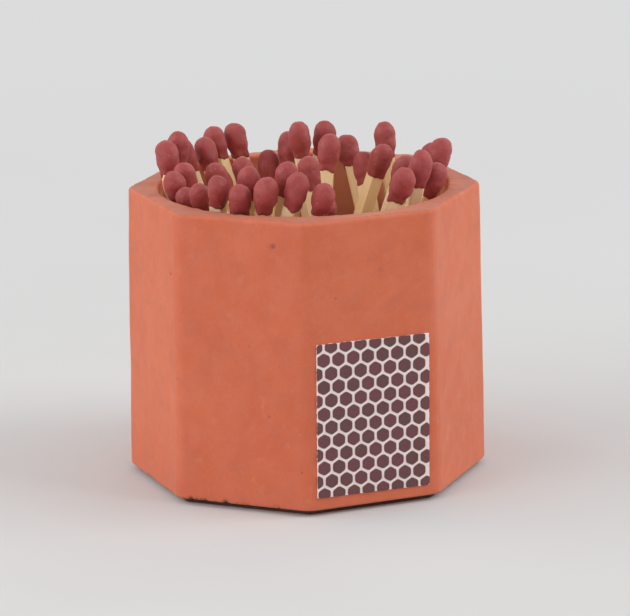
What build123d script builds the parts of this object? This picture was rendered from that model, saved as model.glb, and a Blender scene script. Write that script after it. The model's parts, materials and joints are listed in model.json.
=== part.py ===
from build123d import *
import math
import os

import numpy as np

# A cast eight-sided match pot with a striker on one face, filled with safety matches.
# Lengths are in millimetres and angles in degrees.
# The origin is the middle of the foot on the table, +Z is up, and the striker faces -Y.

# Pot
bore_diameter = 43.0
rim_wall = 2.9
foot_flare = 1.2
floor_thickness = 3.8
rim_round = 1.5
bore_edge_chamfer = 0.4
bore_floor_chamfer = 1.4
corner_round = 0.7
foot_chamfer = 0.35
rim_wall_share = 0.55
bore_edge_wall_share = 0.3
pot_sides = 8

# Base pad
pad_thickness = 0.9
pad_inset = 1.6
pad_corner_round = 1.2

# Striker
label_width = 17.8
label_height = 22.9
label_thickness = 0.15
label_corner_round = 0.5
label_above_foot = 1.8
label_tilt = -0.8
cell_across_flats = 1.93
cell_gap = 0.39
cell_thickness = 0.08
smallest_cell_share = 0.12
cells_across_share = -0.37
cells_up_share = 0.5

# Match
match_length = 46.0
stick_size = 2.0
head_length = 5.5
head_diameter = 3.5
stick_end_cover = 2.1
head_coat = 0.12
head_sides = 16

# Clearances and travel
match_show = 7.0
foot_clearance = 0.15
match_gap = 0.2
match_pull = 46.0

# Head outline from its lower edge up: height share, radius share, and how round the section is
head_ring_shares = (
    (0.00, 0.80, 0.00),
    (0.12, 0.92, 0.70),
    (0.34, 1.00, 1.00),
    (0.64, 0.98, 1.00),
    (0.88, 0.70, 1.00),
    (1.00, 0.22, 1.00),
)

# Where the matches stand, as shares of the bore's radius.
# The view is square to the corner on the striker's left, so "across" runs to the right of that
# corner and "back" runs away from it. Each row is tip across, tip back, foot across, foot back,
# and the share of a quarter turn that the stick has about its own axis.
# The matches of the first table are the nearer ones, with a node each for the stick and the head.
view_turn = 180.0 / pot_sides
quarter_turn = 90.0
near_match_shares = (
    (-0.92, -0.32, -0.55, 0.25, 0.10),
    (-1.02, -0.12, -0.45, 0.75, 0.55),
    (-0.82, -0.50, -0.25, 0.20, 0.80),
    (-0.60, 0.08, 0.30, 0.15, 0.25),
    (-0.67, -0.60, -0.60, 0.30, 0.15),
    (-0.64, -0.72, -0.75, 0.20, 0.70),
    (-0.50, -0.84, -0.45, 0.02, 0.40),
    (-0.44, -0.78, -0.20, 0.10, 0.90),
    (-0.30, -0.88, -0.55, -0.10, 0.20),
    (-0.10, -0.74, -0.40, -0.62, 0.00),
    (-0.06, -0.38, 0.30, -0.50, 0.50),
    (-0.02, -0.86, -0.65, -0.50, 0.65),
    (0.15, -0.92, -0.45, -0.35, 0.85),
    (0.22, -0.70, -0.50, 0.10, 0.30),
    (0.22, 0.20, 0.10, -0.25, 0.95),
    (0.60, 0.16, -0.10, 0.30, 0.35),
    (0.72, -0.18, -0.10, 0.15, 0.60),
    (0.83, -0.38, 0.20, -0.30, 0.10),
    (0.70, -0.56, -0.30, -0.05, 0.75),
    (0.94, -0.28, 0.10, 0.00, 0.25),
)
far_match_shares = (
    (-0.04, 0.54, 0.05, 0.50, 0.10),
    (0.16, 0.66, -0.12, 0.85, 0.45),
    (1.00, 0.12, 0.28, -0.15, 0.50),
    (-0.26, 0.84, -0.26, -0.19, 0.85),
    (0.30, 0.90, 0.50, -0.20, 0.00),
    (0.42, 0.60, 0.42, -0.50, 0.55),
    (0.91, 0.28, -0.02, 0.12, 0.65),
    (-1.00, 0.02, -0.60, -0.50, 0.20),
    (-0.95, 0.22, -0.50, -0.05, 0.70),
    (-0.86, 0.42, -0.20, 0.40, 0.30),
    (-0.74, 0.56, -0.05, 0.05, 0.40),
    (-0.50, 0.24, 0.12, -0.30, 0.05),
    (-0.68, 0.75, -0.12, 0.50, 0.60),
    (-0.50, 0.80, 0.18, 0.60, 0.35),
    (-0.12, 0.80, 0.00, -0.05, 0.30),
    (0.52, 0.46, 0.75, -0.15, 0.15),
)

# How the matches settle clear of each other
settle_rounds = 1500
home_rounds_share = 0.4
home_pull_share = 0.02
tip_ease_share = 0.6
overshoot_share = 0.1
watch_share = 1.2
step_share = 1.5
lean_share = 0.8
recount_rounds = 20
tiny = 1e-9

# Worked out from the sizes above
bore_radius = bore_diameter / 2
top_across_flats = bore_diameter + 2 * rim_wall
base_across_flats = top_across_flats + foot_flare
pot_height = floor_thickness + match_length - match_show
pot_bottom = pad_thickness
floor_level = pot_bottom + floor_thickness
rim_level = pot_bottom + pot_height
facet_draft = math.atan2(foot_flare / 2, pot_height)
head_radius = head_diameter / 2
head_start = match_length - head_length
stick_length = match_length - stick_end_cover
stick_reach = stick_size / math.sqrt(2)


def facet_plane():
    """The face with the striker: x to its right, y up its slope and z outwards."""
    return Plane(origin=(0, -base_across_flats / 2, pot_bottom), x_dir=(1, 0, 0),
                 z_dir=(0, -math.cos(facet_draft), math.sin(facet_draft)))


def tapered_block():
    """Eight flat faces that lean in towards the rim."""
    block = Pos(0, 0, pot_bottom) * Box(2 * base_across_flats, 2 * base_across_flats, pot_height,
                                        align=(Align.CENTER, Align.CENTER, Align.MIN))
    for side in range(pot_sides):
        facet = Plane(Rot(Z=360.0 / pot_sides * side) * facet_plane().location)
        block = split(block, bisect_by=facet, keep=Keep.BOTTOM)
    return block


def pot_body():
    outer = tapered_block()
    outer = fillet(outer.faces().sort_by(Axis.Z)[-1].edges(), min(rim_round, rim_wall * rim_wall_share))
    upright = [edge for edge in outer.edges() if edge.bounding_box().size.Z > pot_height / 2]
    outer = fillet(upright, corner_round)
    outer = chamfer(outer.faces().sort_by(Axis.Z)[0].edges(), foot_chamfer)
    bore = Pos(0, 0, floor_level) * Cylinder(
        bore_radius, pot_height, align=(Align.CENTER, Align.CENTER, Align.MIN))
    bore = chamfer(bore.faces().sort_by(Axis.Z)[0].edges(), bore_floor_chamfer)
    pot = outer - bore
    mouth = [edge for edge in pot.faces().sort_by(Axis.Z)[-1].edges()
             if edge.geom_type == GeomType.CIRCLE]
    return chamfer(mouth, min(bore_edge_chamfer, rim_wall * bore_edge_wall_share))


def base_pad():
    outline = RegularPolygon(base_across_flats / 2 - pad_inset, pot_sides, major_radius=False,
                             rotation=view_turn)
    outline = fillet(outline.vertices(), pad_corner_round)
    return extrude(outline, pad_thickness)


def striker_place(lift=0.0):
    """The middle of the label: x to the right, y up the slope of the face, z outwards."""
    return facet_plane().location * Pos(0, label_above_foot + label_height / 2, lift) * Rot(Z=label_tilt)


def label_outline():
    return RectangleRounded(label_width, label_height, label_corner_round)


def striker_label():
    return striker_place() * extrude(label_outline(), label_thickness)


def striker_cells():
    """Six-sided patches in staggered rows, cut off where the label ends."""
    pitch = cell_across_flats + cell_gap
    row_pitch = pitch * math.sqrt(3) / 2
    columns = math.ceil(label_width / pitch / 2) + 1
    rows = math.ceil(label_height / row_pitch / 2) + 1
    start = Pos(cells_across_share * pitch, cells_up_share * row_pitch)
    cell = RegularPolygon(cell_across_flats / 2, 6, major_radius=False, rotation=30)
    outline = label_outline()
    face = striker_place(label_thickness)
    patches = []
    for row in range(-rows, rows + 1):
        shift = pitch / 2 if row % 2 else 0.0
        for column in range(-columns, columns + 1):
            place = start * Pos(column * pitch + shift, row * row_pitch)
            patch = (place * cell) & outline
            if patch and patch.area > cell.area * smallest_cell_share:
                patches += (face * extrude(patch, cell_thickness)).solids()
    return Compound(children=patches)


def nearest_shares(foot_a, axis_a, low_a, high_a, foot_b, axis_b, low_b, high_b):
    """How far along each of two stretches of line, as shares, the nearest points lie."""
    between = foot_a - foot_b
    aa = (axis_a * axis_a).sum(1)
    bb = (axis_b * axis_b).sum(1)
    ab = (axis_a * axis_b).sum(1)
    ar = (axis_a * between).sum(1)
    br = (axis_b * between).sum(1)
    spread = np.maximum(aa * bb - ab * ab, tiny * aa * bb)
    along_a = np.clip((ab * br - ar * bb) / spread, low_a, high_a)
    for _ in range(2):
        along_b = np.clip((ab * along_a + br) / bb, low_b, high_b)
        along_a = np.clip((ab * along_b - ar) / aa, low_a, high_a)
    return along_a, along_b


def watched_pairs(count):
    """Each row is one stretch of one match against one of another, standing or drawn out."""
    drawn = match_pull / match_length
    core = (head_start + head_radius / 2) / match_length
    end = (match_length - head_radius) / match_length
    stick = (0.0, head_start / match_length, stick_reach)
    head = (core, end, head_radius)
    drawn_stick = (drawn, head_start / match_length + drawn, stick_reach)
    drawn_head = (core + drawn, end + drawn, head_radius)
    path = (core, end + drawn, head_radius)
    rows = []
    for a in range(count):
        for b in range(count):
            if a != b:
                rows += [(a, *path, b, *piece) for piece in (stick, head)]
            if a < b:
                rows.append((a, *stick, b, *stick))
                rows += [(a, *one, b, *other) for one in (drawn_stick, drawn_head)
                         for other in (drawn_stick, drawn_head)]
    return np.array(rows)


def stand(feet, tips):
    """The foot point and the axis of every match that stands on the floor and leans."""
    run = np.minimum(np.hypot(*(tips - feet).T), match_length * lean_share)
    rise = np.sqrt(match_length ** 2 - run ** 2)
    foot_level = floor_level + foot_clearance + stick_reach * run / match_length
    return np.c_[feet, foot_level], np.c_[tips - feet, rise]


def share_out(feet, tips, push, along):
    """Moves the point at a share along each match by push, mostly at the foot."""
    weight = (1 - along) ** 2 + tip_ease_share * along ** 2
    feet += push * ((1 - along) / weight)[:, None]
    tips += push * (tip_ease_share * along / weight)[:, None]


def keep_inside(feet, tips):
    """Holds the feet on the flat of the floor and the matches inside the mouth."""
    reach = np.hypot(*feet.T)
    limit = bore_radius - bore_floor_chamfer - stick_reach
    feet *= np.minimum(1.0, limit / np.maximum(reach, tiny))[:, None]
    foot, axis = stand(feet, tips)
    rise = axis[:, 2]
    head_bottom = foot[:, 2] + rise * (head_start - head_radius / 2) / match_length
    radius = np.where(head_bottom < rim_level, head_radius, stick_reach)
    along = (rim_level - foot[:, 2]) / rise
    place = foot[:, :2] + along[:, None] * axis[:, :2]
    reach = np.maximum(np.hypot(*place.T), tiny)
    limit = bore_radius - (radius + match_gap) * match_length / rise
    push = place * (np.minimum(0.0, limit - reach) / reach)[:, None]
    share_out(feet, tips, push, along)


def settle(feet, tips):
    """Nudges the matches apart until they clear each other, standing and drawn out."""
    home = tips.copy()
    pairs = watched_pairs(len(feet))
    first, second = pairs[:, 0].astype(int), pairs[:, 4].astype(int)
    needed = pairs[:, 3] + pairs[:, 7] + match_gap
    home_rounds = home_rounds_share * settle_rounds
    for count in range(settle_rounds):
        foot, axis = stand(feet, tips)
        if count % recount_rounds == 0:
            near = np.arange(len(pairs))
        a, b = first[near], second[near]
        along_a, along_b = nearest_shares(foot[a], axis[a], pairs[near, 1], pairs[near, 2],
                                          foot[b], axis[b], pairs[near, 5], pairs[near, 6])
        apart = foot[a] + along_a[:, None] * axis[a] - foot[b] - along_b[:, None] * axis[b]
        distance = np.linalg.norm(apart, axis=1)
        short = distance < needed[near]
        push_feet, push_tips = np.zeros_like(feet), np.zeros_like(tips)
        shares = np.zeros(len(feet))
        side = np.maximum(np.hypot(*apart[:, :2].T), tiny * match_length)
        amount = (needed[near] - distance + overshoot_share * match_gap) / 2
        step = apart[:, :2] * (amount * np.clip(distance / side, 1.0, step_share) / side)[:, None]
        for index, along, sign in ((a, along_a, 1.0), (b, along_b, -1.0)):
            weight = (1 - along) ** 2 + tip_ease_share * along ** 2
            np.add.at(push_feet, index[short], (sign * step * ((1 - along) / weight)[:, None])[short])
            np.add.at(push_tips, index[short],
                      (sign * step * (tip_ease_share * along / weight)[:, None])[short])
            np.add.at(shares, index[short], 1.0)
        if count % recount_rounds == 0:
            near = near[distance < needed * (1 + watch_share)]
        calm = np.sqrt(np.maximum(shares, 1.0))[:, None]
        feet += push_feet / calm
        tips += push_tips / calm
        tips += (home - tips) * home_pull_share * max(0.0, 1.0 - count / home_rounds)
        keep_inside(feet, tips)
        if count > home_rounds and not short.any():
            break


def places(shares):
    """Feet and tips in the pot's own axes, from the table seen over the corner."""
    table = np.array(shares)[:, :4] * bore_radius
    turn = math.radians(view_turn)
    across = np.array((math.cos(turn), -math.sin(turn)))
    back = np.array((math.sin(turn), math.cos(turn)))
    tips = table[:, :1] * across + table[:, 1:2] * back
    feet = table[:, 2:3] * across + table[:, 3:4] * back
    return feet, tips


def match_places():
    """The foot of every match, with z along its stick."""
    shares = near_match_shares + far_match_shares
    feet, tips = places(shares)
    settle(feet, tips)
    foot, axis = stand(feet, tips)
    stands = []
    for point, direction, row in zip(foot, axis, shares):
        flat = Plane(origin=tuple(point), x_dir=(direction[2], 0, -direction[0]),
                     z_dir=tuple(direction))
        stands.append(flat.location * Rot(Z=quarter_turn * row[4] - view_turn))
    return stands


def square_reach(angle):
    """From the stick's axis out to the side of its square section."""
    return stick_size / 2 / max(abs(math.cos(angle)), abs(math.sin(angle)))


def head_ring(height_share, radius_share, round_share):
    level = head_start + head_length * height_share
    points = []
    for step in range(head_sides):
        angle = 2 * math.pi * step / head_sides
        square = square_reach(angle) + head_coat
        reach = square + (head_radius * radius_share - square) * round_share
        points.append((reach * math.cos(angle), reach * math.sin(angle), level))
    return points


def match_stick():
    return Box(stick_size, stick_size, stick_length, align=(Align.CENTER, Align.CENTER, Align.MIN))


def facet(*points):
    return Face(Wire.make_polygon(points, close=True))


def match_head():
    """A dipped head that starts square on the stick and swells to a rounded tip."""
    rings = [head_ring(*ring) for ring in head_ring_shares]
    faces = [facet(*rings[0]), facet(*rings[-1])]
    for low, high in zip(rings, rings[1:]):
        for here in range(head_sides):
            after = (here + 1) % head_sides
            faces.append(facet(low[here], low[after], high[here]))
            faces.append(facet(low[after], high[after], high[here]))
    return Solid(Shell(faces)) - match_stick()


os.makedirs("parts", exist_ok=True)
match_stands = match_places()
stick_form = match_stick()
head_form = match_head()

export_step(pot_body(), "parts/pot_body.step")
export_step(base_pad(), "parts/base_pad.step")
export_step(striker_label(), "parts/striker_label.step")
export_step(striker_cells(), "parts/striker_cells.step")
for number, stand_place in enumerate(match_stands, start=1):
    stick = stand_place * stick_form
    head = stand_place * head_form
    if number <= len(near_match_shares):
        export_step(stick, f"parts/match_{number:02d}_stick.step")
        export_step(head, f"parts/match_{number:02d}_head.step")
    else:
        export_step(Compound(children=[stick, head]), f"parts/match_{number:02d}.step")
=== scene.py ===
import json
import math

import bpy
import numpy as np
from mathutils import Matrix, Vector

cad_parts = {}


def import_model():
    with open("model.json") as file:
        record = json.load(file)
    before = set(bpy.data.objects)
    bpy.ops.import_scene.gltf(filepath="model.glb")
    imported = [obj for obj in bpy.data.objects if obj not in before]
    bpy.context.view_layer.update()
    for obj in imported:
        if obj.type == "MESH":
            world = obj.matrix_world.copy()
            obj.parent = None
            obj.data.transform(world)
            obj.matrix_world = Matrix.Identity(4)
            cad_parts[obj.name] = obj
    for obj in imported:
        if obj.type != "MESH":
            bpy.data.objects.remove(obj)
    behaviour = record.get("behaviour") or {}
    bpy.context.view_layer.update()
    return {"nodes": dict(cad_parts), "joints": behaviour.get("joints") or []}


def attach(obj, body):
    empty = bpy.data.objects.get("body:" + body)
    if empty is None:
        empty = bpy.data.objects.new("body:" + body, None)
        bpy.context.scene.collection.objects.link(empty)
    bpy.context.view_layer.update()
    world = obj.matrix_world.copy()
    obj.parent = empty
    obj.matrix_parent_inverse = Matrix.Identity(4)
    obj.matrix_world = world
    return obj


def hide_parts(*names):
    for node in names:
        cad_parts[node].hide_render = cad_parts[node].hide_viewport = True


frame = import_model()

# Lengths are in millimetres until a mesh is made, and angles in degrees.
MM = 0.001

# Pot
BASE_ACROSS_FLATS = 50.0
TOP_ACROSS_FLATS = 48.8
POT_BOTTOM = 0.9
POT_HEIGHT = 42.8
RIM = POT_BOTTOM + POT_HEIGHT
BORE_RADIUS = 21.5
FLOOR = 4.7
RIM_ROUND = 0.7
BORE_EDGE_ROUND = 0.5
BORE_FLOOR_ROUND = 1.4
CORNER_ROUND = 3.0
FOOT_ROUND = 0.35
HALF_FACET = 22.5

# Striker
LABEL_WIDTH = 17.8
LABEL_HEIGHT = 22.9
LABEL_THICKNESS = 0.15
LABEL_ABOVE_FOOT = 1.8
LABEL_TILT = -0.8
CELL_THICKNESS = 0.08

# Match
MATCH_LENGTH = 46.0
STICK_SIZE = 2.0
STICK_LENGTH = 43.9
HEAD_LENGTH = 5.5
HEAD_RADIUS = 1.76

DRAFT = math.atan2((BASE_ACROSS_FLATS - TOP_ACROSS_FLATS) / 2, POT_HEIGHT)


# Meshes

def make_piece(name, points, faces, place=None, smooth=True):
    """A mesh object from points in millimetres."""
    mesh = bpy.data.meshes.new(name)
    mesh.from_pydata((np.asarray(points, dtype=float) * MM).tolist(), [], faces)
    mesh.update()
    if smooth:
        mesh.polygons.foreach_set("use_smooth", [True] * len(mesh.polygons))
    piece = bpy.data.objects.new(name, mesh)
    bpy.context.scene.collection.objects.link(piece)
    if place is not None:
        piece.matrix_world = place
    return piece


def grid_faces(rows, columns, closed=True):
    """Quads between rows of points, joined round where the rows are rings."""
    faces = []
    last = columns if closed else columns - 1
    for row in range(rows - 1):
        low, high = row * columns, (row + 1) * columns
        for column in range(last):
            after = (column + 1) % columns
            faces.append((low + column, low + after, high + after, high + column))
    return faces


def set_attribute(piece, name, values):
    layer = piece.data.attributes.new(name, "FLOAT", "POINT")
    layer.data.foreach_set("value", np.asarray(values, dtype=np.float32))


def vertex_normals(piece):
    normals = np.empty(len(piece.data.vertices) * 3)
    piece.data.vertex_normals.foreach_get("vector", normals)
    return normals.reshape(-1, 3)


def vertex_points(piece):
    points = np.empty(len(piece.data.vertices) * 3)
    piece.data.vertices.foreach_get("co", points)
    return points.reshape(-1, 3) / MM


def set_points(piece, points):
    piece.data.vertices.foreach_set("co", (points * MM).ravel())
    piece.data.update()


# A wave's pitch lies between these shares of the pitch that its size gives.
PITCH_SHARES = (0.55, 1.45)


def waves(points, size, seed, count=14):
    """A smooth random field of about unit height, with features about size across."""
    rng = np.random.default_rng(seed)
    directions = rng.normal(size=(count, points.shape[1]))
    directions /= np.linalg.norm(directions, axis=1)[:, None]
    pitch = 2 * math.pi / size * rng.uniform(*PITCH_SHARES, count)
    phase = rng.uniform(0, 2 * math.pi, count)
    return np.sin(points @ (directions * pitch[:, None]).T + phase).sum(1) * math.sqrt(2 / count)


def layered(points, layers, seed=0):
    """Waves on waves, from the height, the size across and the own seed of each layer."""
    return sum(height * waves(points, size, seed + own) for height, size, own in layers)


def smooth_step(value, low, high):
    share = np.clip((value - low) / (high - low), 0.0, 1.0)
    return share * share * (3 - 2 * share)


# Materials

class Nodes:
    """Builds the node tree of a material or a world, with inputs given by name or number."""

    def __init__(self, owner):
        self.owner = owner
        owner.use_nodes = True
        self.tree = owner.node_tree
        self.tree.nodes.clear()

    def add(self, kind, inputs=None, **settings):
        node = self.tree.nodes.new(kind)
        for key, value in settings.items():
            setattr(node, key, value)
        for key, value in (inputs or {}).items():
            if isinstance(value, bpy.types.NodeSocket):
                self.tree.links.new(value, node.inputs[key])
            else:
                node.inputs[key].default_value = value
        return node

    def noise(self, place, scale, detail, rough, seed, stretch=(1.0, 1.0, 1.0)):
        place = self.add("ShaderNodeMapping", {"Vector": place, "Scale": stretch,
                                               "Location": (seed, seed * 0.7, seed * 1.3)}).outputs[0]
        node = self.add("ShaderNodeTexNoise", {"Vector": place, "Scale": scale, "Detail": detail,
                                               "Roughness": rough})
        return node.outputs[0]

    def ramp(self, value, low, high, out_low=0.0, out_high=1.0):
        node = self.add("ShaderNodeMapRange", {"Value": value, "From Min": low, "From Max": high,
                                               "To Min": out_low, "To Max": out_high},
                        interpolation_type="SMOOTHSTEP")
        return node.outputs[0]

    def mix(self, share, first, second):
        """From the first colour to the second; each is a socket or a tuple of red, green and blue."""
        first, second = ((*color, 1.0) if isinstance(color, tuple) else color for color in (first, second))
        return self.add("ShaderNodeMix", {0: share, 6: first, 7: second}, data_type="RGBA").outputs[2]

    def math(self, kind, first, second):
        return self.add("ShaderNodeMath", {0: first, 1: second}, operation=kind).outputs[0]

    def bump(self, height, distance, strength, normal=None):
        inputs = {"Height": height, "Distance": distance, "Strength": strength}
        if normal is not None:
            inputs["Normal"] = normal
        return self.add("ShaderNodeBump", inputs).outputs[0]

    def seen(self):
        """1 for the rays that show a background: the camera's own, and those off gloss or through glass."""
        path = self.add("ShaderNodeLightPath").outputs
        seen = self.math("MAXIMUM", path["Is Camera Ray"], path["Is Glossy Ray"])
        return self.math("MAXIMUM", seen, path["Is Transmission Ray"])

    def surface(self, inputs):
        """Ends a material in a Principled shader and returns the material."""
        shader = self.add("ShaderNodeBsdfPrincipled", inputs)
        self.add("ShaderNodeOutputMaterial", {0: shader.outputs[0]})
        return self.owner


def material_nodes(name):
    """The nodes of a new material, and the object's own coordinates in them."""
    nodes = Nodes(bpy.data.materials.new(name))
    return nodes, nodes.add("ShaderNodeTexCoord").outputs["Object"]


def own_place(nodes, place):
    """The coordinates shifted by a random amount of each object's own, and that amount."""
    shift = nodes.add("ShaderNodeObjectInfo").outputs["Random"]
    offset = nodes.add("ShaderNodeCombineXYZ", {"X": shift, "Y": shift, "Z": shift}).outputs[0]
    return nodes.add("ShaderNodeVectorMath", {0: place, 1: offset}, operation="ADD").outputs[0], shift


def attribute(nodes, name):
    return nodes.add("ShaderNodeAttribute", attribute_name=name).outputs["Fac"]


# A spot is full within this share of its size.
SPOT_CORE_SHARE = 0.4


def spots(nodes, place, scale, size, share, seed):
    """One in a few cells of a cell pattern holds a round spot: 1 in its middle, 0 outside."""
    place = nodes.add("ShaderNodeMapping", {"Vector": place, "Location": (seed, seed, seed)}).outputs[0]
    cells = nodes.add("ShaderNodeTexVoronoi", {"Vector": place, "Scale": scale, "Randomness": 1.0})
    chosen = nodes.add("ShaderNodeSeparateColor", {"Color": cells.outputs["Color"]}).outputs[0]
    chosen = nodes.math("LESS_THAN", chosen, share)
    spot = nodes.ramp(cells.outputs["Distance"], size, size * SPOT_CORE_SHARE)
    return nodes.math("MULTIPLY", spot, chosen)


def clouded(nodes, place, color, clouds):
    """Lays clouds of tone over a colour.

    Each cloud has its noise (scale, detail, roughness, seed and, if any, stretch), the span of the
    noise over which the tone comes in, the most of the tone that shows, and the tone.
    """
    for noise, (low, high), most, tone in clouds:
        share = nodes.ramp(nodes.noise(place, *noise), low, high, 0.0, most)
        color = nodes.mix(share, color, tone)
    return color


def uneven(nodes, place, noise, least, most):
    """A roughness that wanders between two values."""
    return nodes.ramp(nodes.noise(place, *noise), 0.3, 0.7, least, most)


CAST_COLOR = (0.612, 0.110, 0.034)
CAST_CLOUDS = (
    ((55, 3, 0.5, 1.1), (0.35, 0.68), 1.0, (0.645, 0.128, 0.044)),
    ((260, 4, 0.6, 3.7), (0.42, 0.70), 0.5, (0.54, 0.104, 0.043)),
    ((420, 5, 0.65, 7.9), (0.56, 0.78), 0.55, (0.67, 0.180, 0.085)),
    ((3200, 2, 0.5, 5.3), (0.52, 0.75), 0.14, (0.70, 0.25, 0.15)),
    ((2300, 2, 0.5, 9.1), (0.56, 0.8), 0.16, (0.40, 0.075, 0.04)),
)
# Painted light: the bore's wall is coloured lighter and yellower than the cast, standing in for light in the
# bore's shade.
BORE_PAINTED_LIGHT_COLOR = (0.72, 0.27, 0.14)
WORN_COLOR, WORN_SHARE = (0.66, 0.165, 0.075), 0.6
SANDED_COLOR = (0.45, 0.120, 0.068)
# Painted shade: the colour and share that darken the bubble holes and pin holes as shade in their hollows.
HOLE_SHADE_COLOR, HOLE_SHADE_SHARE = (0.22, 0.05, 0.03), 0.55
# Painted shade: the colour that darkens the hollows of the dents and chips.
DENT_SHADE_COLOR = (0.13, 0.035, 0.02)


def cast_material():
    """Matte pigmented concrete: soft clouds of tone, fine grit, a few bubbles with painted shade, a sanded
    rim, painted light in the bore and painted shade in dents and chips.
    """
    nodes, place = material_nodes("terracotta_cast")
    color = clouded(nodes, place, CAST_COLOR, CAST_CLOUDS)
    # Painted light: the bore's wall is lightened below the rim, where it lies in shade.
    color = nodes.mix(attribute(nodes, "painted_bore_light"), color, BORE_PAINTED_LIGHT_COLOR)
    color = nodes.mix(nodes.math("MULTIPLY", attribute(nodes, "wear"), WORN_SHARE), color, WORN_COLOR)
    color = nodes.mix(attribute(nodes, "sanded"), color, SANDED_COLOR)
    bubbles = spots(nodes, place, scale=330, size=0.09, share=0.014, seed=2.0)
    pin_holes = spots(nodes, place, scale=900, size=0.13, share=0.008, seed=5.0)
    holes = nodes.math("MAXIMUM", bubbles, pin_holes)
    # Painted shade in the bubble holes and pin holes.
    color = nodes.mix(nodes.math("MULTIPLY", holes, HOLE_SHADE_SHARE), color, HOLE_SHADE_COLOR)
    # Painted shade: the dents and chips are darkened in their hollows.
    color = nodes.mix(attribute(nodes, "dark"), color, DENT_SHADE_COLOR)
    grit = nodes.noise(place, 2600, 5, 0.7, 4.4)
    skin = nodes.noise(place, 700, 4, 0.6, 8.2)
    normal = nodes.bump(grit, distance=0.00003, strength=0.4)
    normal = nodes.bump(skin, distance=0.00008, strength=0.25, normal=normal)
    normal = nodes.bump(nodes.math("MULTIPLY", holes, -1.0), distance=0.00018, strength=0.9, normal=normal)
    rough = uneven(nodes, place, (300, 3, 0.6, 6.6), 0.62, 0.80)
    return nodes.surface({"Base Color": color, "Roughness": rough, "Normal": normal,
                          "Specular IOR Level": 0.9, "Sheen Weight": 0.16, "Sheen Roughness": 0.45,
                          "Sheen Tint": (1.0, 0.95, 0.72, 1.0)})


PAPER_COLOR = (0.93, 0.80, 0.78)
PAPER_CLOUDS = (
    ((900, 4, 0.6, 2.2), (0.35, 0.7), 1.0, (0.86, 0.74, 0.72)),
    ((4200, 3, 0.6, 6.1), (0.5, 0.8), 0.35, (0.72, 0.60, 0.58)),
)
CUT_EDGE_COLOR = (0.92, 0.85, 0.83)


def paper_material():
    """Uncoated off-white paper, a little paler at its cut edge."""
    nodes, place = material_nodes("label_paper")
    color = clouded(nodes, place, PAPER_COLOR, PAPER_CLOUDS)
    color = nodes.mix(attribute(nodes, "wear"), color, CUT_EDGE_COLOR)
    fibres = nodes.noise(place, 3000, 4, 0.7, 4.5, (1.0, 1.0, 0.35))
    normal = nodes.bump(fibres, distance=0.00003, strength=0.5)
    return nodes.surface({"Base Color": color, "Roughness": 0.72, "Normal": normal})


STRIKER_COLORS = (0.112, 0.046, 0.042), (0.155, 0.044, 0.056)
STRIKER_CLOUDS = (
    ((1400, 4, 0.65, 1.9), (0.4, 0.7), 0.6, (0.132, 0.056, 0.049)),
    ((7000, 2, 0.6, 3.3), (0.55, 0.75), 0.5, (0.27, 0.13, 0.13)),
)


def striker_material():
    """Printed striking compound: dark maroon with fine glassy grit, each patch a little different."""
    nodes, place = material_nodes("striking_compound")
    color = nodes.mix(attribute(nodes, "tone"), *STRIKER_COLORS)
    color = clouded(nodes, place, color, STRIKER_CLOUDS)
    grit = nodes.noise(place, 6500, 4, 0.7, 5.8)
    normal = nodes.bump(grit, distance=0.00004, strength=0.7)
    rough = uneven(nodes, place, (5000, 2, 0.5, 8.8), 0.5, 0.75)
    return nodes.surface({"Base Color": color, "Roughness": rough, "Normal": normal})


WOOD_COLORS = (0.96, 0.70, 0.38), (0.98, 0.82, 0.54)
WOOD_CLOUDS = (
    ((1500, 3, 0.6, 1.3, (1, 1, 0.05)), (0.35, 0.7), 0.55, (0.90, 0.60, 0.29)),
    ((6000, 3, 0.6, 3.9, (1, 1, 0.03)), (0.5, 0.8), 0.5, (0.98, 0.84, 0.58)),
    ((160, 2, 0.5, 6.2), (0.4, 0.7), 0.35, (0.95, 0.70, 0.36)),
)
FLECK_COLOR, FLECK_SHARE = (0.22, 0.09, 0.03), 0.75


def wood_material():
    """Raw aspen: pale, with fine fibres along the stick, soft bands and a few dark flecks."""
    nodes, place = material_nodes("aspen")
    place, shift = own_place(nodes, place)
    color = nodes.mix(nodes.ramp(shift, 0.0, 1.0), *WOOD_COLORS)
    color = clouded(nodes, place, color, WOOD_CLOUDS)
    flecks = spots(nodes, place, scale=330, size=0.12, share=0.05, seed=1.0)
    color = nodes.mix(nodes.math("MULTIPLY", flecks, FLECK_SHARE), color, FLECK_COLOR)
    fibres = nodes.noise(place, 5200, 3, 0.65, 2.6, (1, 1, 0.03))
    normal = nodes.bump(fibres, distance=0.00006, strength=0.6)
    return nodes.surface({"Base Color": color, "Roughness": 0.68, "Normal": normal})


HEAD_COLORS = (0.335, 0.046, 0.041), (0.390, 0.058, 0.055)
HEAD_CLOUDS = (
    ((600, 4, 0.6, 2.4), (0.38, 0.68), 0.6, (0.28, 0.036, 0.032)),
    ((1500, 4, 0.65, 7.4), (0.5, 0.8), 0.5, (0.49, 0.10, 0.095)),
    ((7000, 2, 0.6, 4.9), (0.55, 0.8), 0.35, (0.55, 0.16, 0.15)),
)
GRAIN_COLOR, GRAIN_SHARE = (0.78, 0.48, 0.45), 0.65


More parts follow.
